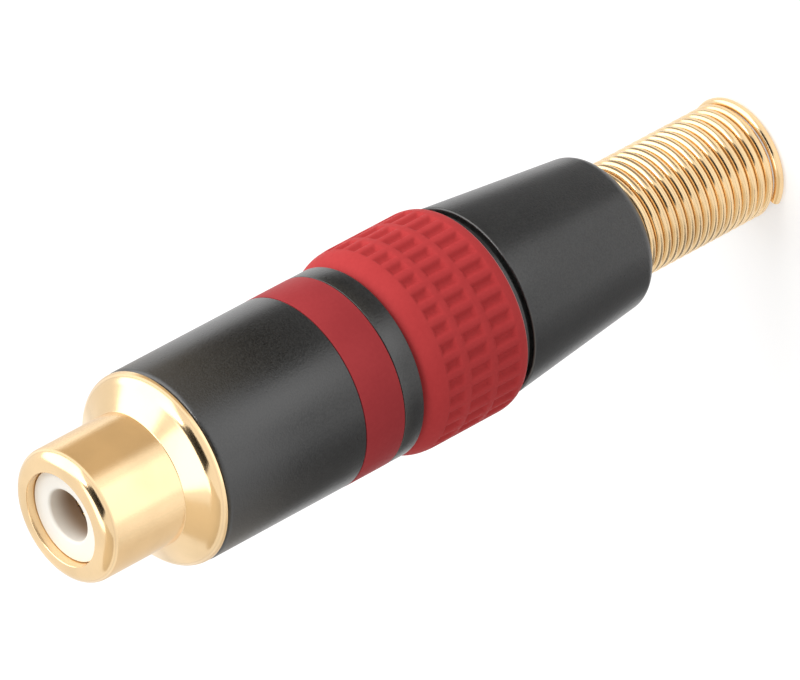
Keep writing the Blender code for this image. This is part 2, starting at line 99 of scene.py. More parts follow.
class Value:
    """A socket that takes part in ordinary arithmetic."""

    def __init__(self, tree, socket):
        self.tree, self.socket = tree, socket

    def _math(self, operation, *others):
        return self.tree.add("ShaderNodeMath", {"operation": operation}, self, *others)

    def __add__(self, other):
        return self._math("ADD", other)

    def __sub__(self, other):
        return self._math("SUBTRACT", other)

    def __rsub__(self, other):
        return self.tree.add("ShaderNodeMath", {"operation": "SUBTRACT"}, other, self)

    def __mul__(self, other):
        return self._math("MULTIPLY", other)

    def __truediv__(self, other):
        return self._math("DIVIDE", other)

    def __pow__(self, other):
        return self._math("POWER", other)

    __radd__, __rmul__ = __add__, __mul__

    def fraction(self):
        return self._math("FRACT")

    def sine(self):
        return self._math("SINE")

    def cosine(self):
        return self._math("COSINE")

    def at_least(self, other):
        return self._math("MAXIMUM", other)

    def at_most(self, other):
        return self._math("MINIMUM", other)

    def ramp(self, low, high):
        """Smooth step from 0 at low to 1 at high."""
        settings = {"interpolation_type": "SMOOTHSTEP"}
        return self.tree.add("ShaderNodeMapRange", settings, Value=self,
                             From_Min=low, From_Max=high)


class Tree:
    """A node tree that is filled one node at a time."""

    def __init__(self, nodes, links):
        self.nodes, self.links = nodes, links

    def put(self, socket, value):
        if isinstance(value, Value):
            self.links.new(value.socket, socket)
        else:
            socket.default_value = value

    def node(self, kind, settings=None, *values, **named):
        """Make a node: its settings first, then its sockets in order or by name."""
        node = self.nodes.new(kind)
        for name, setting in (settings or {}).items():
            setattr(node, name, setting)
        for socket, value in zip(node.inputs, values):
            self.put(socket, value)
        for name, value in named.items():
            self.put(open_input(node, name.replace("_", " ")), value)
        return node

    def add(self, kind, settings=None, *values, **named):
        """Make a node and give its first live output."""
        node = self.node(kind, settings, *values, **named)
        return Value(self, next(out for out in node.outputs if out.enabled))

    def mix(self, factor, first, second):
        """Blend two colours."""
        node = self.node("ShaderNodeMix", {"data_type": "RGBA"}, Factor=factor, A=first, B=second)
        return Value(self, next(out for out in node.outputs if out.enabled))


def open_input(node, name):
    return next(s for s in node.inputs if s.name == name and s.enabled)


# Finishes

def finish(name, paint):
    """A material whose surface is painted by a function of its tree."""
    material = bpy.data.materials.new(name)
    material.use_nodes = True
    tree = Tree(material.node_tree.nodes, material.node_tree.links)
    tree.nodes.clear()
    shader = tree.node("ShaderNodeBsdfPrincipled")
    paint(tree, shader)
    tree.node("ShaderNodeOutputMaterial", {}, Value(tree, shader.outputs[0]))
    return material


def dress(tree, shader, **values):
    """Set the shader's sockets by name."""
    for name, value in values.items():
        tree.put(shader.inputs[name.replace("_", " ")], value)


def place(tree):
    """Where the surface lies, in metres."""
    return Value(tree, tree.node("ShaderNodeTexCoord").outputs["Object"])


def grain(tree, scale, detail=3.0, roughness=0.5, stretch=(1, 1, 1)):
    """Noise of a given scale in waves per metre, around a half."""
    where = tree.node("ShaderNodeMapping", {}, place(tree), Scale=stretch)
    return tree.add("ShaderNodeTexNoise", {}, Vector=Value(tree, where.outputs[0]),
                    Scale=scale, Detail=detail, Roughness=roughness)


def bump(tree, height, strength, distance):
    """Raise the surface by a height between 0 and 1, over a distance in metres."""
    return tree.add("ShaderNodeBump", {}, Strength=strength, Distance=distance, Height=height)


def plated(colour, roughness, turning):
    """Polished gold plating with fine turning lines round the axis."""
    def paint(tree, shader):
        cloud = grain(tree, 260.0, 4.0)
        lines = grain(tree, 900.0, 2.0, 0.5, (0.15, 0.15, 18.0))
        worn = tree.mix(cloud.ramp(0.35, 0.7), (*colour, 1), (*[c * 0.88 for c in colour], 1))
        dress(tree, shader, Base_Color=worn, Metallic=1.0,
              Roughness=roughness + cloud * 0.05 + lines * 0.04,
              Normal=bump(tree, lines, turning, 0.00001))
    return paint


def satin_black(tree, shader):
    """Satin black paint: fine powder grain over a slightly uneven sheen."""
    speck = grain(tree, 8500.0, 2.0, 0.6)
    cloud = grain(tree, 210.0, 3.0)
    shade = speck * 0.7 + cloud * 0.3
    tone = tree.mix(shade.ramp(0.35, 0.65), (0.003, 0.003, 0.003, 1), (0.020, 0.020, 0.019, 1))
    dress(tree, shader, Base_Color=tone, Roughness=0.20 + speck * 0.14 + cloud * 0.08,
          Normal=bump(tree, speck, 0.6, 0.000022), Specular_IOR_Level=1.0)


def satin_red(colour, shaded, roughness, metallic, rear_edge):
    """Dyed satin with a fine even grain, with painted shade in the pockets and a painted highlight
    along its rear edge.
    """
    def paint(tree, shader):
        speck = grain(tree, 4200.0, 2.0, 0.55)
        cloud = grain(tree, 300.0, 3.0)
        shade = speck * 0.35 + cloud * 0.65
        tone = tree.mix(shade.ramp(0.3, 0.7), (*colour, 1), (*shaded, 1))
        # painted shade: the pockets' floors are darkened by how deep they lie
        pocket = tree.node("ShaderNodeAttribute", {"attribute_name": "pocket"})
        tone = tree.mix(Value(tree, pocket.outputs["Fac"]) * 0.09, tone, (0.10, 0.004, 0.005, 1))
        # painted highlight: a pale line along the rear edge
        height = tree.node("ShaderNodeSeparateXYZ", {}, place(tree))
        painted_edge_glint = 1.0 - Value(tree, height.outputs[2]).ramp(
            rear_edge * MM, (rear_edge + 0.05) * MM)
        tone = tree.mix(painted_edge_glint * 0.5, tone, (0.90, 0.50, 0.50, 1))
        dress(tree, shader, Base_Color=tone, Roughness=roughness + speck * 0.10,
              Normal=bump(tree, speck, 0.25, 0.00002), Specular_IOR_Level=0.03,
              Metallic=metallic)
    return paint


def white_moulding(tree, shader):
    """White insulator: smooth, with shade and the gold contact's warm reflection painted down its
    pin hole.
    """
    where = tree.node("ShaderNodeSeparateXYZ", {}, place(tree))
    x, y, z = (Value(tree, where.outputs[i]) for i in range(3))
    reach = (x * x + y * y) ** 0.5
    within = 1.0 - reach.ramp((PIN_HOLE + 0.08) * MM, (PIN_HOLE + 0.30) * MM)
    below = 1.0 - z.ramp((FACE - 1.6) * MM, (FACE - 0.1) * MM)
    cloud = grain(tree, 420.0, 3.0)
    face = tree.mix(cloud.ramp(0.3, 0.7), (0.97, 0.935, 0.86, 1), (0.95, 0.91, 0.83, 1))
    # painted shade and painted reflection: the pin hole's wall below the face in warm brown
    dress(tree, shader, Base_Color=tree.mix(within * below, face, (0.44, 0.31, 0.21, 1)),
          Roughness=0.35 + cloud * 0.08, Normal=bump(tree, cloud, 0.15, 0.00002))


def moulded(colour, roughness):
    """Smooth moulded plastic with faint mottling."""
    def paint(tree, shader):
        cloud = grain(tree, 420.0, 3.0)
        tone = tree.mix(cloud.ramp(0.3, 0.7), (*colour, 1), (*[c * 0.94 for c in colour], 1))
        dress(tree, shader, Base_Color=tone, Roughness=roughness + cloud * 0.08,
              Normal=bump(tree, cloud, 0.15, 0.00002))
    return paint


GOLD = finish("polished gold", plated((0.97, 0.71, 0.41), roughness=0.12, turning=0.10))
WIRE_GOLD = finish("gold wire", plated((0.96, 0.70, 0.40), roughness=0.12, turning=0.05))
DEEP_GOLD = finish("gold contact", plated((0.90, 0.62, 0.28), roughness=0.16, turning=0.15))
BLACK = finish("satin black", satin_black)
RED = finish("satin red", satin_red(
    (0.58, 0.060, 0.061), (0.53, 0.052, 0.054), roughness=0.45, metallic=0.0,
    rear_edge=GRIP_REAR + 0.10))
BAND_RED = finish("dark red", satin_red(
    (0.46, 0.054, 0.058), (0.42, 0.047, 0.052), roughness=0.40, metallic=0.08,
    rear_edge=BAND_LOW + 0.03))
WHITE = finish("white insulator", white_moulding)
CLEAR = finish("milky liner", moulded((0.78, 0.78, 0.75), roughness=0.35))
TINNED = finish("tinned brass", plated((0.72, 0.70, 0.66), roughness=0.28, turning=0.20))


# Turned pieces

LARGE_FILLET = 0.3


def rounded(corners):
    """Replace each corner (radius, height, fillet) of a section by its fillet arc."""
    points = []
    for index, corner in enumerate(corners):
        here = Vector(corner[:2])
        if len(corner) == 2:
            points.append(here)
            continue
        fillet = corner[2]
        steps = 10 if fillet > LARGE_FILLET else 4
        to_last = (Vector(corners[index - 1][:2]) - here).normalized()
        to_next = (Vector(corners[(index + 1) % len(corners)][:2]) - here).normalized()
        half_angle = to_last.angle(to_next) / 2
        centre = here + (to_last + to_next).normalized() * fillet / math.sin(half_angle)
        first = here + to_last * fillet / math.tan(half_angle) - centre
        sweep = first.angle_signed(here + to_next * fillet / math.tan(half_angle) - centre)
        for step in range(steps + 1):
            turned_by = Matrix.Rotation(-sweep * step / steps, 2)
            points.append(centre + turned_by @ first)
    return points


def as_object(name, bm, material):
    """A mesh object at the origin, smooth but for its creases."""
    mesh = bpy.data.meshes.new(name)
    bm.to_mesh(mesh)
    bm.free()
    mesh.shade_smooth()
    mesh.set_sharp_from_angle(angle=TURNED_CREASE)
    mesh.materials.append(material)
    obj = bpy.data.objects.new(name, mesh)
    bpy.context.collection.objects.link(obj)
    return obj


def ring_of_verts(bm, r, z, segments):
    """Points round the axis, or one point over and over where the section meets the axis."""
    if r * MM < JOIN:
        return [bm.verts.new((0.0, 0.0, z * MM))] * segments
    angles = [math.tau * i / segments for i in range(segments)]
    return [bm.verts.new((r * MM * math.cos(a), r * MM * math.sin(a), z * MM)) for a in angles]


def turned(name, corners, material, segments=TURNED_SEGMENTS):
    """Turn a closed section, given clockwise from the mouth down, round the axis.

    It is built ring by ring, so that its faces come in the same order in every run.
    """
    section = rounded(corners)
    section = [here for here, last in zip(section, section[-1:] + section[:-1])
               if (here - last).length * MM > JOIN]
    bm = bmesh.new()
    rings = [ring_of_verts(bm, r, z, segments) for r, z in section]
    for upper, lower in zip(rings, rings[1:] + rings[:1]):
        for i in range(segments):
            j = (i + 1) % segments
            face = list(dict.fromkeys((upper[i], upper[j], lower[j], lower[i])))
            if len(face) > 2:
                bm.faces.new(face)
    bmesh.ops.recalc_face_normals(bm, faces=bm.faces)
    return as_object(name, bm, material)


def cut_box(obj, low, high):
    """Cut a box out of a piece for good, and join the points that the cut leaves in one place."""
    bm = bmesh.new()
    bmesh.ops.create_cube(bm, size=1.0)
    for vert in bm.verts:
        vert.co = Vector((low[i] + (vert.co[i] + 0.5) * (high[i] - low[i])) * MM for i in range(3))
    cutter = as_object("cutter", bm, obj.data.materials[0])
    modifier = obj.modifiers.new("cut", "BOOLEAN")
    modifier.solver = "EXACT"
    modifier.object = cutter
    keep_result(obj)
    bpy.data.objects.remove(cutter, do_unlink=True)
    bm = bmesh.new()
    bm.from_mesh(obj.data)
    bmesh.ops.remove_doubles(bm, verts=bm.verts, dist=JOIN)
    bm.to_mesh(obj.data)
    bm.free()


def keep_result(obj):
    """Turn a piece with its modifiers into a plain mesh."""
    evaluated = obj.evaluated_get(bpy.context.evaluated_depsgraph_get())
    mesh = bpy.data.meshes.new_from_object(evaluated)
    obj.modifiers.clear()
    obj.data = mesh


def ridden(obj, body, node):
    """A finished piece stands for its CAD node and moves with its body."""
    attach(obj, body)
    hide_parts(node)


def make_outer_contact():
    piece = turned("outer_contact_finish", [
        (MOUTH_BORE, INSULATOR_STEP + SEAM), (MOUTH_BORE, MOUTH, 0.07),
        (SLEEVE_RADIUS, MOUTH, 0.8), (SLEEVE_RADIUS, SLEEVE_ROOT, 0.06),
        (SHOULDER_RADIUS, SHOULDER_EDGE, 0.95), (SHOULDER_RADIUS, SHOULDER_REAR, 0.05),
        (SHANK_RADIUS, SHOULDER_REAR), (SHANK_RADIUS, SHANK_REAR), (LIP_BORE, SHANK_REAR, 0.1),
        (LIP_BORE, SHANK_REAR + LIP_LENGTH), (CORE_BORE, SHANK_REAR + LIP_LENGTH),
        (CORE_BORE, INSULATOR_STEP + SEAM)], GOLD)
    ridden(piece, "socket_head", "outer_contact")


def make_insulator():
    piece = turned("insulator_finish", [
        (PIN_HOLE, FACE, 0.2), (NOSE_RADIUS, FACE, 0.06), (NOSE_RADIUS, INSULATOR_STEP),
        (CORE_RADIUS, INSULATOR_STEP), (CORE_RADIUS, INSULATOR_REAR),
        (COLLAR_BORE, INSULATOR_REAR), (COLLAR_BORE, COLLAR_SEAT), (TINE_HOUSING, COLLAR_SEAT),
        (TINE_HOUSING, FACE_REAR), (PIN_HOLE, FACE_REAR)], WHITE, INNER_SEGMENTS)
    ridden(piece, "socket_head", "insulator")


def make_centre_contact():
    top = FACE_REAR - SEAM
    floor = top - TINE_DEPTH
    piece = turned("centre_contact_finish", [
        (TINE_BORE, floor), (TINE_BORE, top, 0.12), (TINE_RADIUS, top, 0.12),
        (TINE_RADIUS, COLLAR_SEAT - SEAM), (COLLAR_RADIUS, COLLAR_SEAT - SEAM, 0.06),
        (COLLAR_RADIUS, INSULATOR_REAR), (TAIL_RADIUS, INSULATOR_REAR),
        (TAIL_RADIUS, SHANK_REAR), (CUP_RADIUS, SHANK_REAR), (CUP_RADIUS, CUP_END),
        (CUP_BORE, CUP_END), (CUP_BORE, CUP_END + CUP_DEPTH), (0.0, CUP_END + CUP_DEPTH),
        (0.0, floor)], DEEP_GOLD, CONTACT_SEGMENTS)
    beyond = COLLAR_RADIUS + PAST
    for x, y in ((beyond, SLOT_HALF_WIDTH), (SLOT_HALF_WIDTH, beyond)):
        cut_box(piece, (-x, -y, top - TINE_LENGTH), (x, y, top + PAST))
    cut_box(piece, (-beyond, 0.0, CUP_END - PAST), (beyond, beyond, CUP_END + SCOOP_LENGTH))
    ridden(piece, "socket_head", "centre_contact")


def make_barrel():
    core = THREAD_RADIUS - THREAD_RIDGE
    piece = turned("barrel_finish", [
        (BARREL_BORE, BARREL_FRONT), (BARREL_RADIUS, BARREL_FRONT, 0.3),
        (BARREL_RADIUS, BAND_HIGH, 0.04), (BAND_SEAT, BAND_HIGH), (BAND_SEAT, BAND_LOW),
        (BARREL_RADIUS, BAND_LOW, 0.04), (BARREL_RADIUS, BARREL_REAR, 0.08),
        (core, BARREL_REAR), (core, THREAD_REAR, 0.15), (CORE_BORE, THREAD_REAR),
        (CORE_BORE, SHANK_REAR - SEAM), (BARREL_BORE, SHANK_REAR - SEAM)], BLACK)
    ridden(piece, "socket_head", "barrel")


def make_colour_band():
    low, high = BAND_LOW + SEAM, BAND_HIGH - SEAM
    skin = BARREL_RADIUS + BAND_PROUD
    piece = turned("colour_band_finish", [
        (BAND_BORE, high), (skin, high, 0.03), (skin, low, 0.03), (BAND_BORE, low)], BAND_RED)
    ridden(piece, "socket_head", "colour_band")


def make_rear_shell():
    piece = turned("rear_shell_finish", [
        (SPRING_HOLE, SHELL_REAR, 0.1), (SPRING_HOLE, SPRING_SEAT), (CAVITY_RADIUS, SPRING_SEAT),
        (CAVITY_RADIUS, THREAD_REAR - THREAD_RUN_OUT), (NECK_BORE, THREAD_REAR - THREAD_RUN_OUT),
        (NECK_BORE, GRIP_FRONT), (GRIP_SEAT, GRIP_FRONT), (GRIP_SEAT, NECK_TOP),
        (NECK_LIP_RADIUS, NECK_TOP, 0.06), (NECK_LIP_RADIUS, NECK_LIP, 0.06),
        (NECK_RADIUS, NECK_LIP), (NECK_RADIUS, SHELL_FRONT), (SHELL_RADIUS, SHELL_FRONT, 0.12),
        (SHELL_TIP_RADIUS, SHELL_REAR, 0.85)], BLACK)
    ridden(piece, "shell", "rear_shell")


# Coils, threads and the ring of pockets

def node_group(name, inputs):
    """A geometry tree with named inputs; gives the group, its tree and its input values."""
    group = bpy.data.node_groups.new(name, "GeometryNodeTree")
    face = group.interface
    face.new_socket(name="Geometry", in_out="INPUT", socket_type="NodeSocketGeometry")
    for label, kind in inputs:
        face.new_socket(name=label, in_out="INPUT", socket_type=kind)
    face.new_socket(name="Geometry", in_out="OUTPUT", socket_type="NodeSocketGeometry")
    tree = Tree(group.nodes, group.links)
    source = tree.node("NodeGroupInput")
    values = {socket.name: Value(tree, socket) for socket in source.outputs if socket.name}
    return group, tree, values


def close_group(tree, geometry, material):
    """Realise, paint and hand out the geometry."""
    real = tree.add("GeometryNodeRealizeInstances", {}, geometry)
    painted = tree.add("GeometryNodeSetMaterial", {}, real, Material=material)
    tree.node("NodeGroupOutput", {}, painted)


def run_group(obj, group, values):
    """Set a tree's inputs by their identifiers, keep what it makes and face it outwards."""
    modifier = obj.modifiers.new(group.name, "NODES")
    modifier.node_group = group
    identifiers = {item.name: item.identifier for item in group.interface.items_tree
                   if item.in_out == "INPUT"}
    for label, value in values.items():
        modifier[identifiers[label]] = value
    keep_result(obj)
    bm = bmesh.new()
    bm.from_mesh(obj.data)
    bmesh.ops.recalc_face_normals(bm, faces=bm.faces)
    bm.to_mesh(obj.data)
    bm.free()
    obj.data.shade_smooth()
    obj.data.set_sharp_from_angle(angle=COIL_CREASE)


def helix_tree():
    """A wire along a helix: each end lies flat for part of a turn and may flare outwards."""
    number, count = "NodeSocketFloat", "NodeSocketInt"
    group, tree, given = node_group("helix", [
        ("Radius", number), ("Pitch", number), ("Turns", number), ("Start Angle", number),
        ("Foot", number), ("End Flat", number), ("Settling Turns", number), ("Free Flare", number),
        ("Seat Flare", number), ("Flatness", number), ("Wire Radius", number),
        ("Steps per Turn", count), ("Sides", count), ("Material", "NodeSocketMaterial")])
    turns = given["Turns"]
    steps = turns * given["Steps per Turn"]
    line = tree.add("GeometryNodeMeshLine", {"mode": "OFFSET"}, Count=steps + 1.0)
    curve = tree.add("GeometryNodeMeshToCurve", {}, line)
    turn = tree.add("GeometryNodeInputIndex") / given["Steps per Turn"]
    left = turns - turn

    def settling(count):
        part = count.fraction()
        fade = (1.0 - (count - 1.0) / given["Settling Turns"]).at_least(0.0).at_most(1.0)
        return fade * (part.ramp(given["End Flat"], 1.0) - part)

    even = turn + given["Flatness"] * (settling(turn) - settling(left))
    height = given["Foot"] + given["Pitch"] * even
    flare = (given["Free Flare"] * (1.0 - turn).ramp(0.0, 1.0)
             + given["Seat Flare"] * (2.0 * (1.0 - left)).ramp(0.0, 1.0))
    radius = given["Radius"] + flare
    angle = given["Start Angle"] + turn * math.tau
    spot = tree.add("ShaderNodeCombineXYZ", {}, radius * angle.cosine(), radius * angle.sine(),
                    height)
    bent = tree.add("GeometryNodeSetPosition", {}, curve, Position=spot)
    profile = tree.add("GeometryNodeCurvePrimitiveCircle", {}, Resolution=given["Sides"],
                       Radius=given["Wire Radius"])
    wire = tree.add("GeometryNodeCurveToMesh", {}, Curve=bent, Profile_Curve=profile,
                    Fill_Caps=True)
    close_group(tree, wire, given["Material"])
    return group


def helix(name, group, material, **sizes):
    """A plain mesh of a wire or a thread ridge, sizes in millimetres."""
    obj = bpy.data.objects.new(name, bpy.data.meshes.new(name))
    bpy.context.collection.objects.link(obj)
    values = {"Material": material}
    for label, value in sizes.items():
        label = label.replace("_", " ")
        scaled = label in ("Radius", "Pitch", "Foot", "Free Flare", "Seat Flare", "Wire Radius")
        values[label] = value * MM if scaled else value
    run_group(obj, group, values)
    return obj


def make_spring(group):
    """The strain relief: from its free end on the floor to the turn seated in the shell."""
    seated = SPRING_SEAT + SEAM + WIRE_SEATING
    piece = helix(
        "spring_finish", group, WIRE_GOLD, Radius=SPRING_RADIUS - WIRE_SEATING,
        Pitch=SPRING_PITCH, Turns=(seated - WIRE_RADIUS) / SPRING_PITCH, Start_Angle=SPRING_TIP,
        Foot=WIRE_RADIUS, End_Flat=0.75, Settling_Turns=5.0, Flatness=1.0, Free_Flare=0.25,
        Seat_Flare=0.36, Wire_Radius=WIRE_RADIUS, Steps_per_Turn=60, Sides=14)
    ridden(piece, "cable_end", "strain_relief_spring")


def make_thread(group, name, body, radius, foot, ridge, fade):
    """A ridge of the screw thread that sinks into its wall at both ends."""
    piece = helix(
        name, group, BLACK, Radius=radius, Pitch=THREAD_PITCH, Turns=THREAD_TURNS,
        Start_Angle=0.0, Foot=foot, End_Flat=0.0, Settling_Turns=1.0, Flatness=0.0,
        Free_Flare=fade, Seat_Flare=fade, Wire_Radius=ridge, Steps_per_Turn=72, Sides=4)
    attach(piece, body)


def make_threads(group):
    """The thread on the barrel's spigot, and the one in the shell's bore."""
    make_thread(group, "barrel_thread", "socket_head",
                radius=THREAD_RADIUS - THREAD_RIDGE, foot=THREAD_REAR + 0.35,
                ridge=THREAD_RIDGE, fade=-0.28)
    make_thread(group, "shell_thread", "shell",
                radius=NECK_BORE + SEAM, foot=THREAD_REAR - 0.1, ridge=0.28, fade=0.2)


POCKETS = 36
POCKET_SHARE = 0.78              # of the pitch; a rib takes the rest
POCKET_DEPTH = 0.23
POCKET_EDGE = 0.38               # width of the soft edge
POCKET_ROWS = ((23.63, 25.50), (25.85, 27.58), (27.93, 29.27))
REAR_ROLL, FRONT_ROLL = 0.8, 2.3     # lengths of the skin's two rounded ends
REAR_DROP, FRONT_DROP = 0.37, 0.93
REAR_STEPS, FRONT_STEPS = 9, 14


def soft_step(value):
    """Smooth step from 0 to 1."""
    value = min(1.0, max(0.0, value))
    return value * value * (3 - 2 * value)


def ring_skin(height):
    """Radius of the ring's skin: rounded at the rear, sloped softly down in front."""
    rear = max(0.0, 1 - (height - GRIP_REAR) / REAR_ROLL)
    front = max(0.0, 1 - (GRIP_FRONT - height) / FRONT_ROLL)
    return (GRIP_RADIUS - REAR_DROP * (1 - math.sqrt(max(0.0, 1 - rear ** 2)))
            - FRONT_DROP * front ** 3)


def edge_samples(low, high, edge=POCKET_EDGE, steps=5):
    """Places across a pocket: close together at its edges, few on its floor."""
    rising = [low + edge * step / steps for step in range(steps + 1)]
    falling = [high - edge * step / steps for step in range(steps + 1)]
    middle = [(low + high) / 2]
    return rising + middle + falling[::-1]


def make_grip_sector():
    """One pitch of the ring: a rib, and a column of soft edged pockets beside it."""
    pitch = math.tau / POCKETS
    width = GRIP_RADIUS * pitch * POCKET_SHARE
    across = [0.0] + [
        place / GRIP_RADIUS for place in edge_samples(0.0, width)][1:] + [pitch]
    part_way = [1 - math.cos(math.pi / 2 * i / REAR_STEPS) for i in range(REAR_STEPS + 1)]
    heights = sorted(
        {round(GRIP_REAR + REAR_ROLL * part, 4) for part in part_way}
        | {round(GRIP_FRONT - FRONT_ROLL * i / FRONT_STEPS, 4) for i in range(FRONT_STEPS + 1)}
        | {round(z, 4) for row in POCKET_ROWS for z in edge_samples(*row)})

    def sunk(angle, height):
        side = min(angle, POCKET_SHARE * pitch - angle) * GRIP_RADIUS
        best = 0.0
        for low, high in POCKET_ROWS:
            inward = min(side, height - low, high - height)
            best = max(best, soft_step(inward / POCKET_EDGE))
        return POCKET_DEPTH * best

    bm = bmesh.new()
    # how deep each point lies in a pocket; the red finish paints shade by it
    pocket = bm.verts.layers.float.new("pocket")
    columns = []
    for angle in across:
        column = [(ring_skin(z), sunk(angle, z), z) for z in heights]
        column += [(GRIP_BORE, 0.0, GRIP_FRONT), (GRIP_BORE, 0.0, GRIP_REAR)]
        columns.append([])
        for skin, depth, z in column:
            r = (skin - depth) * MM
            vert = bm.verts.new((r * math.cos(angle), r * math.sin(angle), z * MM))
            vert[pocket] = depth / POCKET_DEPTH
            columns[-1].append(vert)
    for left, right in zip(columns, columns[1:]):
        for j in range(len(left)):
            k = (j + 1) % len(left)
            bm.faces.new((left[j], right[j], right[k], left[k]))
    return as_object("grip_ring_finish", bm, RED)


def repeat_tree():
    """Copies of a sector turned round the axis and joined at their edges."""
    group, tree, given = node_group("sectors round the axis", [
        ("Count", "NodeSocketInt"), ("Join Distance", "NodeSocketFloat"),
        ("Material", "NodeSocketMaterial")])
    spots = tree.add("GeometryNodePoints", {}, Count=given["Count"])
    angle = tree.add("GeometryNodeInputIndex") * math.tau / given["Count"]
    turn = tree.add("ShaderNodeCombineXYZ", {}, 0.0, 0.0, angle)
    copies = tree.add("GeometryNodeInstanceOnPoints", {}, spots, Instance=given["Geometry"],
                      Rotation=turn)
    real = tree.add("GeometryNodeRealizeInstances", {}, copies)
    joined = tree.add("GeometryNodeMergeByDistance", {}, real, Distance=given["Join Distance"])
    close_group(tree, joined, given["Material"])
    return group


def make_grip_ring():
    """The sector repeated all round."""
    ring = make_grip_sector()
    run_group(ring, repeat_tree(), {"Count": POCKETS, "Join Distance": JOIN, "Material": RED})
    ridden(ring, "shell", "grip_ring")


def dress_hidden_pieces():
    """The pieces inside keep their CAD shape and take a finish."""
    for node, material in (
            ("contact_retainer", WHITE), ("ground_tag", TINNED), ("liner_tube", CLEAR)):
        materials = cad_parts[node].data.materials
        materials.clear()
        materials.append(material)


# Studio

def seen_rays(tree):
    """One for rays from the eye, off a mirror or through glass; zero for the light they fetch."""
    rays = tree.node("ShaderNodeLightPath").outputs
    return Value(tree, rays["Is Camera Ray"]).at_least(Value(tree, rays["Is Glossy Ray"])).at_least(
        Value(tree, rays["Is Transmission Ray"]))


def make_world():
    """Even pale light, seen as plain white by the camera and in reflections."""
    world = bpy.data.worlds.new("studio")
    bpy.context.scene.world = world
    world.use_nodes = True
    tree = Tree(world.node_tree.nodes, world.node_tree.links)
    tree.nodes.clear()
    light = tree.add("ShaderNodeBackground", {}, (1, 1, 1, 1), 0.50)
    backdrop = tree.add("ShaderNodeBackground", {}, (1, 1, 1, 1), 1.0)
    mixed = tree.add("ShaderNodeMixShader", {}, seen_rays(tree), light, backdrop)
    tree.node("ShaderNodeOutputWorld", {}, mixed)


def staged(name, bm, material):
    """A mesh of the studio."""
    panel = as_object(name, bm, material)
    return panel


def flat_panel(name, centre, facing, width, height, material):
    """A rectangle in the studio that faces a direction."""
    bm = bmesh.new()
    bmesh.ops.create_grid(bm, x_segments=1, y_segments=1, size=0.5)
    turn = Vector(facing).to_track_quat("Z", "Y").to_matrix().to_4x4()
    size = Matrix.Diagonal((width, height, 1, 1))
    bm.transform(Matrix.Translation(centre) @ turn @ size)
    return staged(name, bm, material)


def paper(colour):
    """Dull paper of one colour."""
    def paint(tree, shader):
        dress(tree, shader, Base_Color=(*colour, 1), Roughness=0.9, Specular_IOR_Level=0.0)
    return paint


LENS_LENGTH, SENSOR_WIDTH = 519.2, 36.0
VIEW_COSINE = 0.55               # between the axis and the line of sight
VIEW_ROLL = math.radians(28.2)   # slope of the axis in the picture
VIEW_DISTANCE = 0.6646
VIEW_AIM = Vector((-0.000104, 0.0, 0.02725))
VIEW_SINE = math.sqrt(1 - VIEW_COSINE ** 2)
TO_CAMERA = Vector((0, -VIEW_SINE, VIEW_COSINE))


def picture_axes():
    """World directions of the picture's right and up."""
    along = Vector((0, VIEW_COSINE, VIEW_SINE))
    beside = Vector((-1, 0, 0))
    turn_cosine, turn_sine = -math.cos(VIEW_ROLL), -math.sin(VIEW_ROLL)
    return (along * turn_cosine - beside * turn_sine, along * turn_sine + beside * turn_cosine)


def make_camera():
    """A long lens that looks down the mouth from the side of the ground tag."""
    camera = bpy.data.cameras.new("camera")
    camera.lens = LENS_LENGTH
    camera.sensor_width = SENSOR_WIDTH
    camera.clip_start, camera.clip_end = 0.01, 20.0
    obj = bpy.data.objects.new("camera", camera)
    bpy.context.collection.objects.link(obj)
    right, up = picture_axes()
    turn = Matrix((right, up, TO_CAMERA)).transposed().to_4x4()
    obj.matrix_world = Matrix.Translation(VIEW_AIM + TO_CAMERA * VIEW_DISTANCE) @ turn
    bpy.context.scene.camera = obj


MIDDLE = Vector((0, 0, 0.03))
FLOOR_LEVEL, CARD_LEVEL = -0.00002, 0.0001
FLOOR_WIDTH, CARD_STEPS = 6.0, 24

# How far from the axis the floor lies that each stretch of the object mirrors
SHELL_REACH, BARREL_REACH, SLEEVE_REACH = (0.012, 0.045), (0.045, 0.078), (0.078, 0.150)

DARK, DARK_GREY, GREY, MID_GREY, PALE = ((tone,) * 3 for tone in (0.02, 0.15, 0.34, 0.54, 0.84))
TAN, SAND, CREAM, WHITE_PAPER = (
    (0.58, 0.48, 0.35), (0.88, 0.82, 0.74), (0.96, 0.86, 0.70), (0.9, 0.9, 0.9))


def from_dome(azimuth, elevation, distance):
    """A spot on a dome over the object; azimuth runs from -Y towards +X, in degrees."""
    a, e = math.radians(azimuth), math.radians(elevation)
    away = Vector((math.sin(a) * math.cos(e), -math.cos(a) * math.cos(e), math.sin(e)))
    return MIDDLE + away * distance, away


def softbox(name, spot, size, power):
    """An area lamp on the dome, facing the object; its spot is as in from_dome."""
    lamp = bpy.data.lights.new(name, "AREA")
    lamp.shape = "RECTANGLE"
    lamp.size, lamp.size_y = size
    lamp.energy = power
    obj = bpy.data.objects.new(name, lamp)
    bpy.context.collection.objects.link(obj)
    centre, away = from_dome(*spot)
    facing = away.to_track_quat("Z", "Y").to_matrix().to_4x4()
    obj.matrix_world = Matrix.Translation(centre) @ facing


def only_reflected(panel):
    """Let a card show in reflections and nowhere else."""
    panel.visible_camera = panel.visible_diffuse = panel.visible_shadow = False


def card(name, spot, size, material):
    """A card on the dome, facing the object."""
    centre, away = from_dome(*spot)
    only_reflected(flat_panel(name, centre, -away, *size, material))


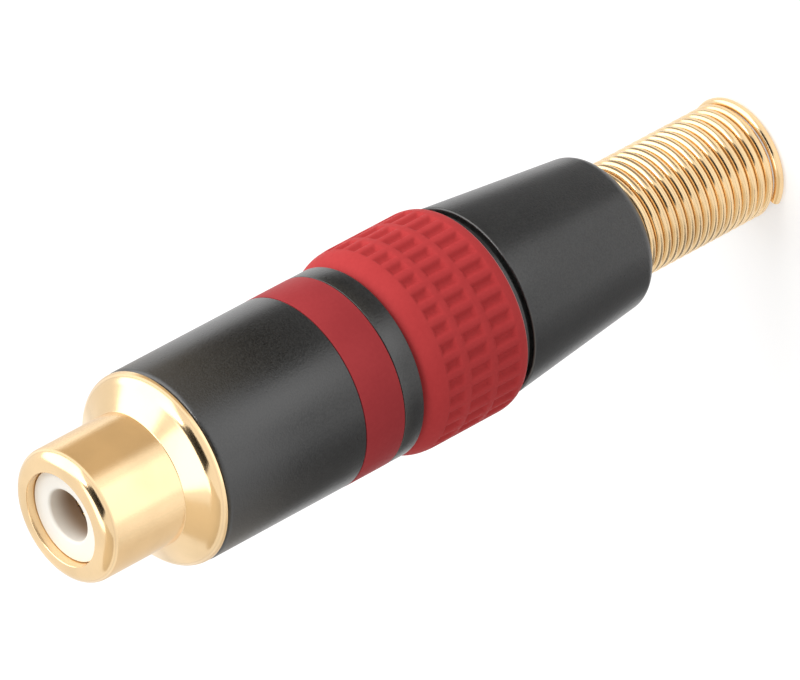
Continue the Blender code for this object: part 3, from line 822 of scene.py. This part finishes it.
def floor_card(name, azimuths, reach, colour, fade=12.0, glow=0.0):
    """A card or lit panel on the floor: a sector round the axis that fades at its two sides."""
    first, last = (math.radians(azimuth) for azimuth in azimuths)
    middle, half = (first + last) / 2, (last - first) / 2

    def faded(tree, shader):
        where = tree.node("ShaderNodeSeparateXYZ", {}, place(tree))
        x, y = Value(tree, where.outputs[0]), Value(tree, where.outputs[1])
        along = (x * math.sin(middle) - y * math.cos(middle)) / (x * x + y * y) ** 0.5
        solid = along.ramp(math.cos(half), math.cos(half - math.radians(fade)))
        dress(tree, shader, Base_Color=(*colour, 1), Roughness=0.9, Specular_IOR_Level=0.0,
              Alpha=solid, Emission_Color=(*colour, 1), Emission_Strength=glow)

    material = finish(name, faded)
    bm = bmesh.new()
    rows = [[], []]
    for i in range(CARD_STEPS + 1):
        a = first + (last - first) * i / CARD_STEPS
        for row, radius in zip(rows, reach):
            row.append(bm.verts.new((radius * math.sin(a), -radius * math.cos(a), CARD_LEVEL)))
    for i in range(CARD_STEPS):
        bm.faces.new((rows[0][i], rows[1][i], rows[1][i + 1], rows[0][i + 1]))
    bmesh.ops.recalc_face_normals(bm, faces=bm.faces)
    only_reflected(staged(name, bm, material))


def white_floor(tree, shader):
    """White, lifted a little for the eye and in reflections; its shadows stay."""
    lift = tree.mix(seen_rays(tree), (0, 0, 0, 1), (1, 1, 1, 1))
    dress(tree, shader, Base_Color=(0.68, 0.68, 0.68, 1), Roughness=0.9, Specular_IOR_Level=0.0,
          Emission_Color=lift, Emission_Strength=0.46)


def make_studio():
    """Floor, lamps, and the cards that put the light and dark streaks on gold and black."""
    make_world()
    floor_paint = finish("pale floor", white_floor)
    flat_panel("floor", (0, 0, FLOOR_LEVEL), (0, 0, 1), FLOOR_WIDTH, FLOOR_WIDTH, floor_paint)
    softbox("key softbox", (88, 35, 0.5), (0.8, 0.6), 2.3)
    softbox("small softbox", (47, 48, 0.5), (0.1, 0.1), 0.25)
    softbox("top softbox", (-40, 80, 0.6), (0.4, 0.4), 0.65)
    card("viewing side card", (0, 50, 0.3), (0.23, 0.27), finish("dark card", paper(DARK)))
    card("shade side card", (-95, 38, 0.35), (0.45, 0.3), finish("cream card", paper(CREAM)))
    floor_card("sleeve floor card", (22, 122), SLEEVE_REACH, TAN, 20.0)
    floor_card("sleeve front panel", (-52, 20), SLEEVE_REACH, WHITE_PAPER, 14.0, glow=0.75)
    floor_card("rear floor card", (112, 305), SLEEVE_REACH, SAND, 45.0)
    floor_card("barrel floor card", (18, 122), BARREL_REACH, DARK)
    floor_card("barrel front card", (-72, -14), BARREL_REACH, MID_GREY)
    floor_card("barrel front panel", (-13.5, 17.5), BARREL_REACH, WHITE_PAPER, 6.0, glow=0.75)
    floor_card("barrel shade card", (-150, -46), BARREL_REACH, DARK_GREY, 18.0)
    floor_card("shell floor card", (20, 122), SHELL_REACH, GREY)
    floor_card("shell front card", (-80, 26), SHELL_REACH, PALE)
    floor_card("shell shade card", (-136, -48), SHELL_REACH, GREY, 18.0)


make_camera()
make_studio()
make_outer_contact()
make_insulator()
make_centre_contact()
make_barrel()
make_colour_band()
make_rear_shell()
helix_group = helix_tree()
make_spring(helix_group)
make_threads(helix_group)
make_grip_ring()
dress_hidden_pieces()

scene = bpy.context.scene
scene.view_settings.view_transform = "Standard"
